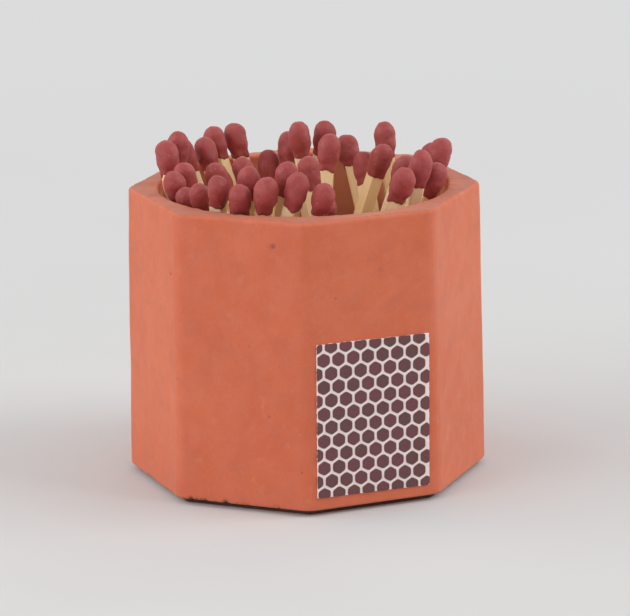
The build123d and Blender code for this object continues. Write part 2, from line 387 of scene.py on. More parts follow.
def head_material():
    """Match compound: dull red, chalky and finely grained, with a few pale grains."""
    nodes, place = material_nodes("match_compound")
    place, shift = own_place(nodes, place)
    color = nodes.mix(nodes.ramp(shift, 0.0, 1.0), *HEAD_COLORS)
    color = clouded(nodes, place, color, HEAD_CLOUDS)
    grains = spots(nodes, place, scale=2600, size=0.22, share=0.03, seed=3.0)
    color = nodes.mix(nodes.math("MULTIPLY", grains, GRAIN_SHARE), color, GRAIN_COLOR)
    grain = nodes.noise(place, 5200, 4, 0.7, 1.7)
    lumps = nodes.noise(place, 1500, 3, 0.6, 9.3)
    normal = nodes.bump(grain, distance=0.00005, strength=0.6)
    normal = nodes.bump(lumps, distance=0.00012, strength=0.5, normal=normal)
    rough = uneven(nodes, place, (900, 2, 0.5, 5.2), 0.50, 0.70)
    return nodes.surface({"Base Color": color, "Roughness": rough, "Normal": normal,
                          "Sheen Weight": 0.12, "Sheen Roughness": 0.5,
                          "Sheen Tint": (1.0, 0.62, 0.62, 1.0)})


# The pad's reddish-brown tint and its warmer clouds are painted light reflected from the terracotta pot onto
# the dark rubber.
PAD_RUBBER_AND_BOUNCE_COLOR = (0.050, 0.026, 0.021)
PAD_BOUNCE_CLOUDS = (((900, 4, 0.6, 2.7), (0.35, 0.7), 1.0, (0.080, 0.044, 0.036)),)


def pad_material():
    """Dark rubber, tinted reddish brown with painted light reflected from the pot."""
    nodes, place = material_nodes("pad_rubber")
    color = clouded(nodes, place, PAD_RUBBER_AND_BOUNCE_COLOR, PAD_BOUNCE_CLOUDS)
    normal = nodes.bump(nodes.noise(place, 3500, 4, 0.7, 3.1), distance=0.00008, strength=0.7)
    return nodes.surface({"Base Color": color, "Roughness": 0.85, "Normal": normal})


# Pot

def outline_reach(angles, across):
    """From the axis out to an octagon with rounded corners, in each direction."""
    inner = across - CORNER_ROUND
    turn = np.radians((angles + HALF_FACET) % (2 * HALF_FACET) - HALF_FACET)
    half = math.radians(HALF_FACET)
    flat = across / np.cos(turn)
    on_flat = across * np.abs(np.tan(turn)) <= inner * math.tan(half)
    centre = inner / math.cos(half)
    left = half - np.abs(turn)
    corner = centre * np.cos(left) + np.sqrt(
        np.maximum(CORNER_ROUND ** 2 - (centre * np.sin(left)) ** 2, 0.0))
    return np.where(on_flat, flat, corner)


def wall_across(level):
    """From the axis out to the wall's flats at a level."""
    share = (level - POT_BOTTOM) / POT_HEIGHT
    return (BASE_ACROSS_FLATS * (1 - share) + TOP_ACROSS_FLATS * share) / 2


# Dents and chips seen on the pot: where (x, y, z), how wide and how deep, and how dark their painted shade is
DENTS = (
    ((-13.64, -20.94, 39.94), 0.45, 0.16, 0.55),
    ((-24.53, -7.80, 34.24), 0.22, 0.16, 0.85),
    ((-17.9, -17.2, 26.6), 0.25, 0.07, 0.25),
    ((-16.6, -18.4, 24.8), 0.22, 0.06, 0.25),
    ((-19.8, -15.4, 25.7), 0.20, 0.05, 0.20),
    ((-11.4, -23.3, 20.9), 0.22, 0.05, 0.20),
    ((-14.6, -20.6, 14.6), 0.30, 0.06, 0.25),
    ((-21.4, -13.4, 7.9), 0.26, 0.06, 0.25),
    ((1.47, -24.51, 35.67), 0.35, 0.06, 0.20),
)
CHIPS = (
    ((-23.61, -11.74, 0.95), 0.40, 0.30, 0.9),
    ((-22.99, -12.37, 0.95), 0.28, 0.24, 0.9),
    ((-22.50, -12.90, 0.92), 0.30, 0.22, 0.8),
    ((-22.03, -13.33, 0.94), 0.34, 0.30, 0.9),
    ((-20.90, -14.50, 0.90), 0.22, 0.15, 0.6),
    ((-19.71, -15.65, 1.00), 0.42, 0.34, 0.95),
    ((-17.20, -18.20, 0.90), 0.25, 0.12, 0.5),
    ((-13.78, -21.58, 0.95), 0.26, 0.22, 0.8),
)


def near_values(values, centre, reach, step):
    """The values with closer ones added round a centre."""
    return np.concatenate([values, np.arange(centre - reach, centre + reach, step)])


# Steps between the mesh's columns, in degrees, and between its levels. They are finer within a reach
# of each corner and of the foot, and no two lie nearer to each other than the least.
COLUMN_STEP, CORNER_COLUMN_STEP, CORNER_COLUMN_REACH, COLUMN_LEAST = 1.0, 0.3, 3.4, 0.12
LEVEL_STEP, FOOT_LEVEL_STEP, FOOT_LEVEL_REACH, LEVEL_LEAST = 0.75, 0.12, 0.5, 0.07
# Steps across the size of a dent, columns to each side of it, and its reach in levels, in sizes
STEPS_PER_DENT, DENT_COLUMNS, DENT_LEVEL_REACH = 3, 8, 2.4


def pot_columns():
    """The directions, in degrees, of the mesh's columns."""
    angles = np.arange(-180.0, 180.0, COLUMN_STEP)
    for (x, y, _), size, _, _ in DENTS + CHIPS:
        angle = math.degrees(math.atan2(y, x))
        step = math.degrees(size / STEPS_PER_DENT / BORE_RADIUS)
        angles = near_values(angles, angle, step * DENT_COLUMNS, step)
    for corner in np.arange(-180.0 + HALF_FACET, 180.0, 2 * HALF_FACET):
        angles = near_values(angles, corner, CORNER_COLUMN_REACH, CORNER_COLUMN_STEP)
    return spread(angles, COLUMN_LEAST)


def spread(values, least):
    """Sorted, without those that lie nearer than least to the one before."""
    kept = []
    for value in np.sort(values):
        if not kept or value - kept[-1] >= least:
            kept.append(value)
    return np.array(kept)


def wall_levels(low, high):
    """The levels of the mesh's rings on the outer wall."""
    levels = np.arange(low, high, LEVEL_STEP)
    for (_, _, z), size, _, _ in DENTS:
        levels = near_values(levels, z, size * DENT_LEVEL_REACH, size / STEPS_PER_DENT)
    levels = near_values(levels, low + FOOT_LEVEL_REACH, FOOT_LEVEL_REACH, FOOT_LEVEL_STEP)
    levels = levels[(levels >= low) & (levels < high)]
    return spread(levels, LEVEL_LEAST)


# Rings inside the flat parts, as shares of their reach: under the foot, across the rim's top and on
# the bore's floor
UNDERSIDE_SHARES = (0.3, 0.6, 0.85, 0.95)
RIM_TOP_SHARES = (0.25, 0.5, 0.75)
BORE_FLOOR_SHARES = (0.85, 0.7, 0.5, 0.3, 0.12)
BORE_LEVEL_STEP = 0.9
BORE_LEVELS = np.arange(RIM - 1.2, FLOOR + BORE_FLOOR_ROUND + 0.2, -BORE_LEVEL_STEP)
# Rings in a small rounding, and in that of the rim's outer edge
ROUND_RINGS, RIM_ROUND_RINGS = 6, 12


def pot_rings(angles):
    """Rings of reach and level, from the middle of the underside over the rim to the bore's floor."""
    def circle(reach):
        return np.full(len(angles), reach)

    quarter = np.linspace(0.0, math.pi / 2, ROUND_RINGS)
    foot = wall_across(POT_BOTTOM) - FOOT_ROUND
    rings = [(outline_reach(angles, foot) * share, POT_BOTTOM) for share in UNDERSIDE_SHARES]
    for turn in quarter:
        across = foot + FOOT_ROUND * math.sin(turn)
        rings.append((outline_reach(angles, across), POT_BOTTOM + FOOT_ROUND * (1 - math.cos(turn))))
    for level in wall_levels(POT_BOTTOM + FOOT_ROUND + 0.1, RIM - RIM_ROUND - 0.05):
        rings.append((outline_reach(angles, wall_across(level)), level))
    top = wall_across(RIM - RIM_ROUND)
    for turn in np.linspace(0.0, math.pi / 2, RIM_ROUND_RINGS):
        across = top - RIM_ROUND * (1 - math.cos(turn))
        rings.append((outline_reach(angles, across), RIM - RIM_ROUND * (1 - math.sin(turn))))
    flat, mouth = outline_reach(angles, top - RIM_ROUND), BORE_RADIUS + BORE_EDGE_ROUND
    rings += [(flat * (1 - share) + mouth * share, RIM) for share in RIM_TOP_SHARES]
    for turn in quarter:
        rings.append((circle(mouth - BORE_EDGE_ROUND * math.sin(turn)),
                      RIM - BORE_EDGE_ROUND * (1 - math.cos(turn))))
    rings += [(circle(BORE_RADIUS), level) for level in BORE_LEVELS]
    inner = BORE_RADIUS - BORE_FLOOR_ROUND
    for turn in quarter:
        rings.append((circle(inner + BORE_FLOOR_ROUND * math.cos(turn)),
                      FLOOR + BORE_FLOOR_ROUND * (1 - math.sin(turn))))
    rings += [(circle(inner * share), FLOOR) for share in BORE_FLOOR_SHARES]
    return rings


def pot_mesh():
    """The pot as rings of points, closed by a point in the middle of the underside and of the floor."""
    angles = pot_columns()
    rings = pot_rings(angles)
    turn = np.radians(angles)
    points = [np.c_[reach * np.cos(turn), reach * np.sin(turn), np.full(len(turn), level)]
              for reach, level in rings]
    count = len(angles)
    points = np.concatenate(points + [[(0, 0, POT_BOTTOM)], [(0, 0, FLOOR)]])
    faces = [tuple(face) for face in grid_faces(len(rings), count)]
    under, over = len(points) - 2, len(points) - 1
    last = (len(rings) - 1) * count
    for column in range(count):
        after = (column + 1) % count
        faces.append((under, after, column))
        faces.append((over, last + column, last + after))
    return make_piece("cast_pot", points, faces), points


# The skin's unevenness: layers of waves (height, size, seed), and how far it is sunk to stay within
# the solid
SKIN_WAVES = ((0.030, 26, 3), (0.014, 7, 5), (0.006, 2.2, 8))
SKIN_SINK = 0.045
# Behind the label, so far in front of the axis and to its sides, the skin is this much flatter.
LABEL_REACH = (24.0, 24.3)
LABEL_HALF_WIDTH = 10.5
LABEL_FLATTER = 0.8
# The crumbled edges of the rim and the foot: wave height, size and seed, and how far below the rim or
# above the bottom the crumbling starts and is full
RIM_CRUMBLE, RIM_CRUMBLE_BAND = (0.020, 1.6, 12), (0.9, 0.4)
FOOT_CRUMBLE, FOOT_CRUMBLE_BAND = (0.05, 1.1, 21), (0.8, 0.2)
# The foot crumbles where its waves are above this, and up to this depth the underside stays flat.
FOOT_CRUMBLE_FROM, UNDERSIDE_DEPTH = 0.4, 0.05


def pot_push(points, outside):
    """How far each point of the skin moves out, before its dents."""
    level = points[:, 2]
    push = layered(points, SKIN_WAVES)
    push -= SKIN_SINK
    behind_label = smooth_step(-points[:, 1], *LABEL_REACH) * (np.abs(points[:, 0]) < LABEL_HALF_WIDTH)
    push *= 1 - LABEL_FLATTER * behind_label
    height, size, seed = RIM_CRUMBLE
    starts, full = RIM_CRUMBLE_BAND
    push += smooth_step(level, RIM - starts, RIM - full) * height * waves(points, size, seed)
    height, size, seed = FOOT_CRUMBLE
    starts, full = FOOT_CRUMBLE_BAND
    foot_edge = smooth_step(level, POT_BOTTOM + starts, POT_BOTTOM + full) * outside
    push -= foot_edge * height * np.maximum(0.0, waves(points, size, seed) - FOOT_CRUMBLE_FROM)
    return np.where(level < POT_BOTTOM + UNDERSIDE_DEPTH, 0.0, push)


# How abruptly a dent and its painted shade end, and how much narrower the painted shade is
DENT_EDGE, SHADE_EDGE, SHADE_NARROWER = 2.6, 3, 1.15


def dented(points, push):
    """The skin's move with its dents and chips, and how much painted shade these put on each point."""
    dark = np.zeros(len(points))
    for place, size, depth, tone in DENTS + CHIPS:
        away = np.linalg.norm(points - place, axis=1) / size
        push = push - depth * np.exp(-away ** DENT_EDGE)
        # Painted shade, darkest in each dent's middle
        dark = np.maximum(dark, tone * np.exp(-(away * SHADE_NARROWER) ** SHADE_EDGE))
    return push, dark


# Wear and sanding: mean and swing, and the size and seed of the waves
EDGE_WEAR = (0.06, 0.08, 5, 31)
RIM_WEAR = (0.25, 0.20, 4, 33)
SCUFF_WEAR = (0.6, 0.5, 0.7, 37)
SANDING = (0.95, 0.10, 2.5, 41)
# The vertical edges are worn from so many degrees beside a corner, and not in the top of the wall;
# the rim is worn from so far below its top.
EDGE_WEAR_BAND, EDGE_WEAR_BELOW_RIM = (3.0, 0.3), (0.2, 1.0)
RIM_WEAR_BAND = (0.8, 0.3)
# The sanded top starts and is full so far below the rim's top and outside the bore. Next to the bore
# it has only its least share, and it gains the rest over a reach further out.
SANDED_DEPTH, SANDED_FROM_BORE = (0.14, 0.02), (0.0, 0.5)
SANDED_LEAST_SHARE, SANDED_REST_SHARE, SANDED_REACH = 0.45, 0.45, (1.5, 3.0)
# The scuff's place and size, and where the front that it lies on begins
SCUFF_X, SCUFF_LEVEL, SCUFF_WIDTH, SCUFF_HEIGHT = -10.0, 4.0, 0.45, 0.7
FRONT_Y = -20


def patchy(points, mean, swing, size, seed):
    """A value that wanders round its mean."""
    return mean + swing * waves(points, size, seed)


def pot_wear(points, outside):
    """Paler places: the vertical edges, the rim's outer edge and one scuff low on the front."""
    level = points[:, 2]
    sector = np.abs((np.degrees(np.arctan2(points[:, 1], points[:, 0])) + HALF_FACET)
                    % (2 * HALF_FACET) - HALF_FACET)
    on_wall = outside * smooth_step(RIM - level, *EDGE_WEAR_BELOW_RIM)
    starts, full = EDGE_WEAR_BAND
    edge = smooth_step(sector, HALF_FACET - starts, HALF_FACET - full) * on_wall
    edge *= patchy(points, *EDGE_WEAR)
    starts, full = RIM_WEAR_BAND
    rim = smooth_step(level, RIM - starts, RIM - full) * outside * patchy(points, *RIM_WEAR)
    scuff = np.exp(-(((points[:, 0] - SCUFF_X) / SCUFF_WIDTH) ** 2
                     + ((level - SCUFF_LEVEL) / SCUFF_HEIGHT) ** 2)) * outside
    scuff *= (points[:, 1] < FRONT_Y) * patchy(points, *SCUFF_WEAR)
    return np.clip(np.maximum.reduce([edge, rim, scuff]), 0.0, 1.0)


def pot_sanded(points, reach):
    """The sanded flat top of the rim, fainter near the bore."""
    starts, full = SANDED_DEPTH
    sanded = smooth_step(points[:, 2], RIM - starts, RIM - full)
    starts, full = SANDED_FROM_BORE
    sanded = sanded * smooth_step(reach, BORE_RADIUS + starts, BORE_RADIUS + full)
    starts, full = SANDED_REACH
    gain = smooth_step(reach, BORE_RADIUS + starts, BORE_RADIUS + full)
    sanded *= SANDED_LEAST_SHARE + SANDED_REST_SHARE * gain
    return np.clip(sanded * patchy(points, *SANDING), 0.0, 1.0)


# Where the outside of the pot begins, from the bore's wall out, and where the painted light on the bore's
# wall begins, from just outside the bore's wall in and from the rim down
OUTSIDE_BAND = (0.4, 0.7)
BORE_LIGHT_BAND, BORE_LIGHT_DEPTH = 0.3, (0.4, 2.5)


def pot():
    """The cast pot, with a soft, dented skin and the attributes that its material reads."""
    piece, points = pot_mesh()
    reach, level = np.hypot(points[:, 0], points[:, 1]), points[:, 2]
    starts, full = OUTSIDE_BAND
    outside = smooth_step(reach, BORE_RADIUS + starts, BORE_RADIUS + full)
    push, dark = dented(points, pot_push(points, outside))
    set_points(piece, points + vertex_normals(piece) * push[:, None])
    set_attribute(piece, "wear", pot_wear(points, outside))
    set_attribute(piece, "sanded", pot_sanded(points, reach))
    # Painted light: the mask that lightens the bore's wall, from the bore's wall in and from the rim down.
    painted_bore_light = smooth_step(BORE_RADIUS + BORE_LIGHT_BAND - reach, 0.0, BORE_LIGHT_BAND)
    set_attribute(piece, "painted_bore_light", painted_bore_light * smooth_step(RIM - level, *BORE_LIGHT_DEPTH))
    # The painted shade of the dents and chips, which the material reads
    set_attribute(piece, "dark", dark)
    piece.data.materials.append(cast_material())
    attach(piece, "pot")
    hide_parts("pot_body")


# Striker

def label_place():
    """x runs across the label, y up the slope of the face and z out of it."""
    across = Vector((1, 0, 0))
    out = Vector((0, -math.cos(DRAFT), math.sin(DRAFT)))
    up = out.cross(across)
    turn = Matrix.Rotation(math.radians(LABEL_TILT), 4, "Z")
    face = Matrix.Translation(Vector((0, -BASE_ACROSS_FLATS / 2, POT_BOTTOM)) * MM) @ Matrix(
        (across, up, out)).transposed().to_4x4()
    return face @ Matrix.Translation(Vector((0, LABEL_ABOVE_FOOT + LABEL_HEIGHT / 2, 0)) * MM) @ turn


def rounded_outline(width, height, corner, step):
    """Points round a rectangle with rounded corners, about a step apart."""
    points = []
    for sign_x, sign_y, start in ((1, 1, 0), (-1, 1, 90), (-1, -1, 180), (1, -1, 270)):
        centre = np.array((sign_x * (width / 2 - corner), sign_y * (height / 2 - corner)))
        for turn in np.radians(np.linspace(start, start + 90, 6)):
            points.append(centre + corner * np.array((math.cos(turn), math.sin(turn))))
    filled = []
    for here, after in zip(points, points[1:] + points[:1]):
        length = np.linalg.norm(after - here)
        for share in np.arange(0, 1, step / length if length > step else 1.0):
            filled.append(here + (after - here) * share)
    return np.array(filled)


def end_cap(points, last, count):
    """Triangles from the last row of a mesh to the one point after it."""
    return [(len(points) - 1, last + column, last + (column + 1) % count) for column in range(count)]


LABEL_CORNER = 0.15
LABEL_OUTLINE_STEP = 0.3
# The furred cut edge: waves (height, size, seed) and how far it is drawn in to stay on the label's size
LABEL_FUR = ((0.025, 0.9, 51), (0.015, 0.35, 52))
LABEL_FUR_INSET = 0.02
LABEL_EDGE_ROUND = 0.03
LABEL_RING_SHARES = (0.98, 0.94, 0.85, 0.65, 0.4, 0.2)


def label(place):
    """A flat piece of cut paper with slightly furred edges."""
    outline = rounded_outline(LABEL_WIDTH, LABEL_HEIGHT, LABEL_CORNER, LABEL_OUTLINE_STEP)
    count = len(outline)
    fur = layered(outline, LABEL_FUR) - LABEL_FUR_INSET
    outward = outline / np.linalg.norm(outline, axis=1)[:, None]
    outline = outline + outward * fur[:, None]
    rings = [np.c_[outline, np.zeros(count)],
             np.c_[outline, np.full(count, LABEL_THICKNESS * 0.7)],
             np.c_[outline - outward * LABEL_EDGE_ROUND, np.full(count, LABEL_THICKNESS)]]
    edge_points = len(rings) * count
    rings += [np.c_[outline * share, np.full(count, LABEL_THICKNESS)] for share in LABEL_RING_SHARES]
    points = np.concatenate(rings + [[(0, 0, LABEL_THICKNESS)]])
    faces = grid_faces(len(rings), count) + end_cap(points, (len(rings) - 1) * count, count)
    piece = make_piece("striker_paper", points, faces, place, smooth=False)
    edge = np.zeros(len(points))
    edge[:edge_points] = 1.0
    set_attribute(piece, "wear", edge)
    piece.data.materials.append(paper_material())
    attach(piece, "pot")
    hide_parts("striker_label")


MICRONS_PER_METRE = 1e6
MM_PER_MICRON = 1e-3


def islands(node):
    """The separate solids of a CAD node, each as its corner points in millimetres."""
    mesh = node.data
    corners, owner = {}, []
    for vertex in mesh.vertices:
        key = tuple(round(value * MICRONS_PER_METRE) for value in vertex.co)
        owner.append(corners.setdefault(key, len(corners)))
    parent = list(range(len(corners)))

    def root(index):
        while parent[index] != index:
            parent[index] = parent[parent[index]]
            index = parent[index]
        return index

    for edge in mesh.edges:
        first, second = (root(owner[index]) for index in edge.vertices)
        parent[first] = second
    groups = {}
    for key, index in corners.items():
        groups.setdefault(root(index), []).append(key)
    return [np.array(sorted(group)) * MM_PER_MICRON for group in sorted(groups.values(), key=min)]


# A rounded corner takes at most this share of each side that meets in it.
CORNER_MOST_SHARE = 0.45


def round_corners(outline, reach, steps):
    """Cuts each corner of a closed outline with a short curve."""
    points = []
    count = len(outline)
    for index in range(count):
        here = outline[index]
        before, after = outline[index - 1] - here, outline[(index + 1) % count] - here
        first, second = (here + side * min(CORNER_MOST_SHARE, reach / max(np.linalg.norm(side), 1e-9))
                         for side in (before, after))
        for share in np.linspace(0, 1, steps):
            bend = 2 * share * (1 - share)
            points.append(first * (1 - share) ** 2 + here * bend + second * share ** 2)
    return np.array(points)


CELL_CORNER, CELL_CORNER_STEPS = 0.26, 4
CELL_RAGGED = 0.012
CELL_TOP = LABEL_THICKNESS + CELL_THICKNESS
# Rings of a patch, as shares of its outline, and their levels: its foot in the paper, its soft rim
# and a trace of crown
CELL_RINGS = ((1.0, LABEL_THICKNESS - 0.01), (1.0, LABEL_THICKNESS + CELL_THICKNESS * 0.55),
              (0.965, CELL_TOP * 0.99), (0.90, CELL_TOP), (0.5, CELL_TOP + 0.004))
CELL_CROWN = 0.005


def cells(place):
    """The printed patches, with soft corners and rims, from the outlines of the CAD's own."""
    back = np.array((place.inverted() @ Matrix.Scale(MM, 4)))
    rng = np.random.default_rng(7)
    points, faces, tones = [], [], []
    for corners in islands(frame["nodes"]["striker_cells"]):
        flat = (np.c_[corners, np.ones(len(corners))] @ back.T)[:, :3] / MM
        top = flat[flat[:, 2] > flat[:, 2].mean()][:, :2]
        middle = top.mean(0)
        order = np.argsort(np.arctan2(*(top - middle).T[::-1]))
        outline = round_corners(top[order], CELL_CORNER, CELL_CORNER_STEPS)
        outline = outline + CELL_RAGGED * rng.normal(size=outline.shape)
        count, start = len(outline), len(points)
        for share, level in CELL_RINGS:
            ring = middle + (outline - middle) * share
            points += np.c_[ring, np.full(count, level)].tolist()
        points.append([*middle, CELL_TOP + CELL_CROWN])
        faces += [tuple(start + index for index in face) for face in grid_faces(len(CELL_RINGS), count)]
        faces += end_cap(points, start + (len(CELL_RINGS) - 1) * count, count)
        tones += [rng.uniform()] * (count * len(CELL_RINGS) + 1)
    piece = make_piece("striker_print", points, faces, place, smooth=False)
    set_attribute(piece, "tone", tones)
    piece.data.materials.append(striker_material())
    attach(piece, "pot")
    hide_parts("striker_cells")


# Matches

def stick_place(node, axis):
    """Where a match stands: z along its stick from its foot, x square to one side of the stick."""
    corners = vertex_points(node)
    along = corners @ axis
    foot = corners[along < along.min() + 0.01]
    middle = foot.mean(0)
    diagonal = foot[0] - middle
    diagonal -= axis * (diagonal @ axis)
    diagonal /= np.linalg.norm(diagonal)
    across = (diagonal + np.cross(axis, diagonal)) / math.sqrt(2)
    turn = Matrix((Vector(across), Vector(np.cross(axis, across)), Vector(axis))).transposed()
    return Matrix.Translation(Vector(middle) * MM) @ turn.to_4x4()


# A splint's corners are rounded by something between these.
SPLINT_CORNERS = (0.10, 0.22)
SPLINT_OUTLINE_STEP = 0.45
# The most that a splint bows, that its foot slants, and that the fibres of its foot are torn
BOW_MOST, SLANT_MOST, TEAR_MOST = 0.05, 0.12, 0.03
TORN_REACH = 1.5
SPLINT_LEVELS = np.concatenate([np.linspace(0.0, TORN_REACH, 8), np.linspace(2.2, STICK_LENGTH, 56)])
# A splint's width swings by this share as it rises, and grooves of another run along it.
WIDTH_SHARE, WIDTH_LENGTH = 0.012, 5
GROOVE_SHARE, GROOVES_ACROSS, GROOVE_LENGTH = 0.014, 2.4, 7
CAP_SHARES = (0.55, 0.55, 1.0)


def stick(name, place, seed, material):
    """A split aspen splint: square with worn edges, a little bowed, with torn fibres at its foot."""
    rng = np.random.default_rng(seed)
    half, corner = STICK_SIZE / 2, rng.uniform(*SPLINT_CORNERS)
    outline = rounded_outline(STICK_SIZE, STICK_SIZE, corner, SPLINT_OUTLINE_STEP)
    count = len(outline)
    bow, bow_turn = rng.uniform(0.0, BOW_MOST), rng.uniform(0, 2 * math.pi)
    slant, slant_turn = rng.uniform(0.0, SLANT_MOST), rng.uniform(0, 2 * math.pi)
    lean = np.array((math.cos(slant_turn), math.sin(slant_turn)))
    rows = []
    for level in SPLINT_LEVELS:
        share = level / STICK_LENGTH
        ring = outline * (1.0 + WIDTH_SHARE * math.sin(level / WIDTH_LENGTH + seed) - WIDTH_SHARE)
        grooves = waves(np.c_[outline * GROOVES_ACROSS, np.full(count, level / GROOVE_LENGTH)], 1.0, seed + 1)
        ring = ring * (1 - GROOVE_SHARE * np.maximum(0.0, grooves))[:, None]
        centre = bow * 4 * share * (1 - share) * np.array((math.cos(bow_turn), math.sin(bow_turn)))
        cut = max(0.0, 1 - level / TORN_REACH) * (slant * (1 + ring @ lean / half) / 2
                                                  + TEAR_MOST * (1 + waves(ring, 0.5, seed + 2)) / 2)
        rows.append(np.c_[ring + centre, level + cut])
    rows = [rows[0] * CAP_SHARES] + rows + [rows[-1] * CAP_SHARES]
    points = np.concatenate(rows + [[rows[0].mean(0)], [rows[-1].mean(0)]])
    faces = grid_faces(len(rows), count)
    last = (len(rows) - 1) * count
    for column in range(count):
        after = (column + 1) % count
        faces.append((len(points) - 2, after, column))
        faces.append((len(points) - 1, last + column, last + after))
    piece = make_piece(name, points, faces, place)
    piece.data.materials.append(material)
    return piece


# A head starts at this share of its full width and swells to it up to the next share of its height.
# Above the last share it closes in a dome, which is a circle where the power is 2.
NECK_SHARE, SWELL_SHARE, DOME_SHARE = 0.765, 0.42, 0.60
DOME_POWER = 2.1


def head_profile(share):
    """How wide the head is at a share of its height, from its lower edge to its tip."""
    swell = NECK_SHARE + (1 - NECK_SHARE) * smooth_step(share, 0.0, SWELL_SHARE)
    domed = np.maximum(0.0, (share - DOME_SHARE) / (1 - DOME_SHARE))
    return swell * np.sqrt(np.maximum(0.0, 1 - domed ** DOME_POWER))


HEAD_COLUMNS = 40
# Least and most of a head's length and width, as shares, and the most that it is squashed
HEAD_LENGTHS, HEAD_WIDTHS, HEAD_SQUASH = (0.94, 1.04), (0.97, 1.0), 0.035
# The head's middle strays from the stick's by about this much.
HEAD_STRAY = 0.07
# The wavy lower edge and the lumps: layers of waves (height, size, seed), and how far the lumps sink
HEAD_EDGE_WAVES = ((0.17, 2.4, 3), (0.035, 0.8, 4))
HEAD_LUMPS = ((0.050, 2.6, 5), (0.018, 0.9, 6), (0.008, 0.35, 7))
HEAD_LUMPS_SINK = 0.05
# The dipped coat starts this far off the stick, and thickens to its lip up to a share of the head.
COAT_START, HEAD_LIP = 0.01, 0.17
LIP_START_SHARE, LIP_SHARE = 0.012, 0.06
# Shares of the head's height: where it has turned from square to round, between which it strays from
# the stick's middle, and where the waves of its lower edge have died out
ROUND_SHARE, STRAY_SHARES, WAVY_SHARE = 0.30, (0.1, 0.9), 0.45
# The corners of the stick that the coat follows are cut at this share of its half width, the lumps
# push this share as far up as out, and they start in the lowest fifth of the head.
CORNER_CUT_SHARE, LUMP_RISE_SHARE, LUMP_START_SHARE = 1.30, 0.35, 0.8
# Heights of the mesh's rings: close at the lower edge, even up to the dome, and closer to the tip
HEAD_RING_SHARES = np.concatenate([
    (0.0, 0.025, 0.06), np.linspace(0.12, DOME_SHARE, 9),
    DOME_SHARE + (1 - DOME_SHARE) * np.sin(np.linspace(0.12, math.pi / 2 - 0.06, 13))])


def head(name, place, seed, material, size):
    """A dipped head: it grips the stick in a wavy edge, swells, and ends in an uneven dome."""
    rng = np.random.default_rng(seed)
    count = HEAD_COLUMNS
    turn = np.arange(count) * 2 * math.pi / count
    around = np.c_[np.cos(turn), np.sin(turn)]
    square = STICK_SIZE / 2 / np.maximum(np.abs(around[:, 0]), np.abs(around[:, 1]))
    square = np.minimum(square, STICK_SIZE / 2 * CORNER_CUT_SHARE)
    length = HEAD_LENGTH * size * rng.uniform(*HEAD_LENGTHS)
    radius = HEAD_RADIUS * size * rng.uniform(*HEAD_WIDTHS)
    edge = layered(around, HEAD_EDGE_WAVES, seed)
    stray = rng.normal(size=2) * HEAD_STRAY
    squash = 1 + rng.uniform(-HEAD_SQUASH, HEAD_SQUASH)
    rows = [np.c_[around * (square + COAT_START)[:, None], np.full(count, MATCH_LENGTH - length) + edge]]
    for share in HEAD_RING_SHARES:
        level = MATCH_LENGTH - length * (1 - share)
        roundness = smooth_step(share, 0.0, ROUND_SHARE)
        lip = HEAD_LIP * min(1.0, (share + LIP_START_SHARE) / LIP_SHARE)
        reach = (square + lip) * (1 - roundness) + radius * head_profile(share) * roundness
        reach = np.minimum(reach, radius)
        ring = around * reach[:, None] * (1.0, squash) + stray * smooth_step(share, *STRAY_SHARES)
        rows.append(np.c_[ring, level + edge * (1 - smooth_step(share, 0.0, WAVY_SHARE))])
    points = np.concatenate(rows + [[(*stray, MATCH_LENGTH)]])
    outward = points - (0.0, 0.0, MATCH_LENGTH - length / 2)
    outward[:, 2] *= LUMP_RISE_SHARE
    outward /= np.linalg.norm(outward, axis=1)[:, None]
    lumps = layered(points, HEAD_LUMPS, seed) - HEAD_LUMPS_SINK
    lumps = lumps * smooth_step(points[:, 2], MATCH_LENGTH - length,
                                MATCH_LENGTH - length * LUMP_START_SHARE)
    points = points + outward * lumps[:, None]
    points[:, 2] = np.minimum(points[:, 2], MATCH_LENGTH)
    faces = grid_faces(len(rows), count) + end_cap(points, (len(rows) - 1) * count, count)
    piece = make_piece(name, points, faces, place)
    piece.data.materials.append(material)
    return piece


# Heads that the photo shows smaller than the rest
SMALL_HEAD_SHARES = {5: 0.88, 6: 0.90}
# The first seeds of the splints and the heads, and how far apart the seeds of two heads are
SPLINT_SEED, HEAD_SEED, HEAD_SEED_STEP = 100, 300, 11


def matches():
    """A splint and a head for every match, each from the axis and the foot of the CAD's own."""
    wood, red = wood_material(), head_material()
    axes = {joint["child"]: joint["axis"] for joint in frame["joints"]}
    for number in range(1, len(axes) + 1):
        name = f"match_{number:02d}"
        axis = np.array(axes[name + "_body"])
        axis /= np.linalg.norm(axis)
        split = name + "_stick" in frame["nodes"]
        wooden, dipped = (name + "_stick", name + "_head") if split else (name, name)
        place = stick_place(frame["nodes"][wooden], axis)
        splint = stick(name + "_splint", place, SPLINT_SEED + number, wood)
        tip = head(name + "_tip", place, HEAD_SEED + HEAD_SEED_STEP * number, red,
                   SMALL_HEAD_SHARES.get(number, 1.0))
        for piece, replaced in ((splint, wooden), (tip, dipped)):
            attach(piece, name + "_body")
            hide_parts(replaced)


# Stage

CAMERA_AZIMUTH = -22.77
CAMERA_ELEVATION = 14.41
CAMERA_ROLL = -0.90
CAMERA_DISTANCE = 600.0
CAMERA_AIM = (1.40, 1.56)
AIM_LEVEL = 22.9
FOCAL_PIXELS = 3996.3
IMAGE_WIDTH = 630
# The clip range is in metres.
SENSOR_WIDTH = 36.0
CLIP_RANGE = (0.01, 20.0)
BACKGROUND = (0.714, 0.714, 0.716)
STUDIO_COLOR = (1.0, 0.99, 0.98, 1.0)
STUDIO_STRENGTH = 0.54

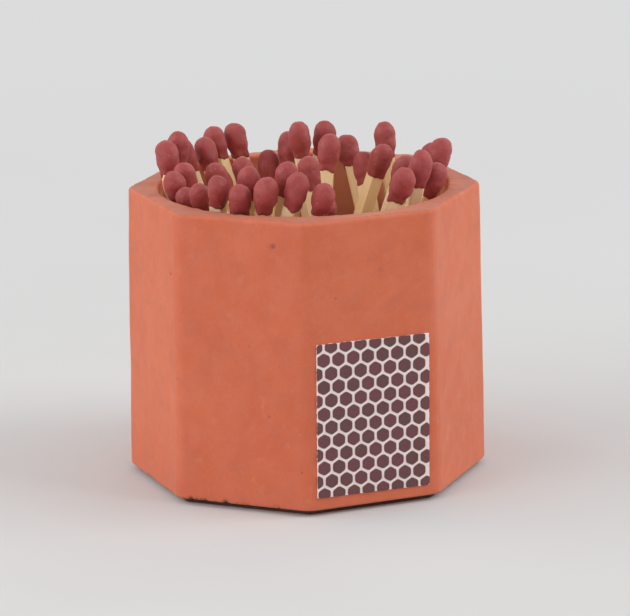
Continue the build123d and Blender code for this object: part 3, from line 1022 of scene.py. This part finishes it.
# Lamps: name, place in metres and power. All are of one size and point at the pot.
LAMPS = (
    ("left_box", (-0.75, -0.15, 0.35), 2.4),
    ("right_front_box", (0.60, -0.40, 0.60), 3.3),
    ("left_back_box", (-0.60, 0.40, 0.50), 1.8),
    ("right_back_box", (0.60, 0.50, 0.50), 0.6),
    ("right_low_box", (0.80, -0.10, 0.10), 1.4),
)
LAMP_SIZE = (0.6, 0.6)
LAMP_AIM = (0, 0, 0.03)


def camera():
    azimuth, elevation, roll = (math.radians(v) for v in (CAMERA_AZIMUTH, CAMERA_ELEVATION, CAMERA_ROLL))
    back = Vector((math.sin(azimuth) * math.cos(elevation), -math.cos(azimuth) * math.cos(elevation),
                   math.sin(elevation)))
    right = Vector((math.cos(azimuth), math.sin(azimuth), 0))
    up = back.cross(right)
    aim = Vector((0, 0, AIM_LEVEL)) + right * CAMERA_AIM[0] + up * CAMERA_AIM[1]
    place = Matrix.Translation((aim + back * CAMERA_DISTANCE) * MM)
    axes = (right * math.cos(roll) + up * math.sin(roll), up * math.cos(roll) - right * math.sin(roll), back)
    data = bpy.data.cameras.new("camera")
    data.sensor_width = SENSOR_WIDTH
    data.lens = FOCAL_PIXELS * data.sensor_width / IMAGE_WIDTH
    data.clip_start, data.clip_end = CLIP_RANGE
    view = bpy.data.objects.new("camera", data)
    view.matrix_world = place @ Matrix(axes).transposed().to_4x4()
    bpy.context.scene.collection.objects.link(view)
    bpy.context.scene.camera = view


def soft_box(name, place, power):
    data = bpy.data.lights.new(name, "AREA")
    data.shape = "RECTANGLE"
    data.size, data.size_y = LAMP_SIZE
    data.energy = power
    lamp = bpy.data.objects.new(name, data)
    lamp.location = place
    lamp.rotation_euler = (Vector(LAMP_AIM) - Vector(place)).to_track_quat("-Z", "Y").to_euler()
    bpy.context.scene.collection.objects.link(lamp)


FLOOR_REACHES = (60, 120, 240, 500, 1000, 2500)
FLOOR_COLUMNS = 96
FLOOR_COLOR = (0.672, 0.676, 0.678)
FLOOR_CLOUDS = (((14, 3, 0.5, 1.0), (0.3, 0.7), 1.0, (0.690, 0.694, 0.697)),)
# Between these distances, in metres, the floor takes on the background's colour where it is seen.
FLOOR_FADE = (0.06, 0.34)


def floor():
    """A pale floor that keeps the shadow near the pot and runs into the background further off."""
    turn = np.arange(FLOOR_COLUMNS) * 2 * math.pi / FLOOR_COLUMNS
    rings = [np.c_[reach * np.cos(turn), reach * np.sin(turn), np.zeros(FLOOR_COLUMNS)]
             for reach in FLOOR_REACHES]
    points = np.concatenate(rings + [[(0, 0, 0)]])
    faces = [face[::-1] for face in grid_faces(len(rings), FLOOR_COLUMNS)]
    faces += [(len(points) - 1, column, (column + 1) % FLOOR_COLUMNS) for column in range(FLOOR_COLUMNS)]
    piece = make_piece("floor", points, faces)
    nodes, place = material_nodes("pale_floor")
    near = nodes.add("ShaderNodeBsdfPrincipled",
                     {"Base Color": clouded(nodes, place, FLOOR_COLOR, FLOOR_CLOUDS), "Roughness": 0.9,
                      "Specular IOR Level": 0.15})
    far = nodes.add("ShaderNodeEmission", {"Color": (*BACKGROUND, 1.0), "Strength": 1.0})
    away = nodes.add("ShaderNodeVectorMath", {0: place}, operation="LENGTH").outputs["Value"]
    share = nodes.math("MULTIPLY", nodes.seen(), nodes.ramp(away, *FLOOR_FADE))
    both = nodes.add("ShaderNodeMixShader", {0: share, 1: near.outputs[0], 2: far.outputs[0]})
    nodes.add("ShaderNodeOutputMaterial", {0: both.outputs[0]})
    piece.data.materials.append(nodes.owner)


def world():
    """Soft light from all round, with the background's own colour where it is seen."""
    studio = bpy.data.worlds.new("studio")
    bpy.context.scene.world = studio
    nodes = Nodes(studio)
    lit = nodes.add("ShaderNodeBackground", {"Color": STUDIO_COLOR, "Strength": STUDIO_STRENGTH})
    shown = nodes.add("ShaderNodeBackground", {"Color": (*BACKGROUND, 1.0), "Strength": 1.0})
    both = nodes.add("ShaderNodeMixShader", {0: nodes.seen(), 1: lit.outputs[0], 2: shown.outputs[0]})
    nodes.add("ShaderNodeOutputWorld", {0: both.outputs[0]})


camera()
pot()
striker = label_place()
label(striker)
cells(striker)
frame["nodes"]["base_pad"].data.materials.clear()
frame["nodes"]["base_pad"].data.materials.append(pad_material())
matches()
floor()
world()
for lamp_name, lamp_place, lamp_power in LAMPS:
    soft_box(lamp_name, lamp_place, lamp_power)
bpy.context.scene.view_settings.view_transform = "Standard"
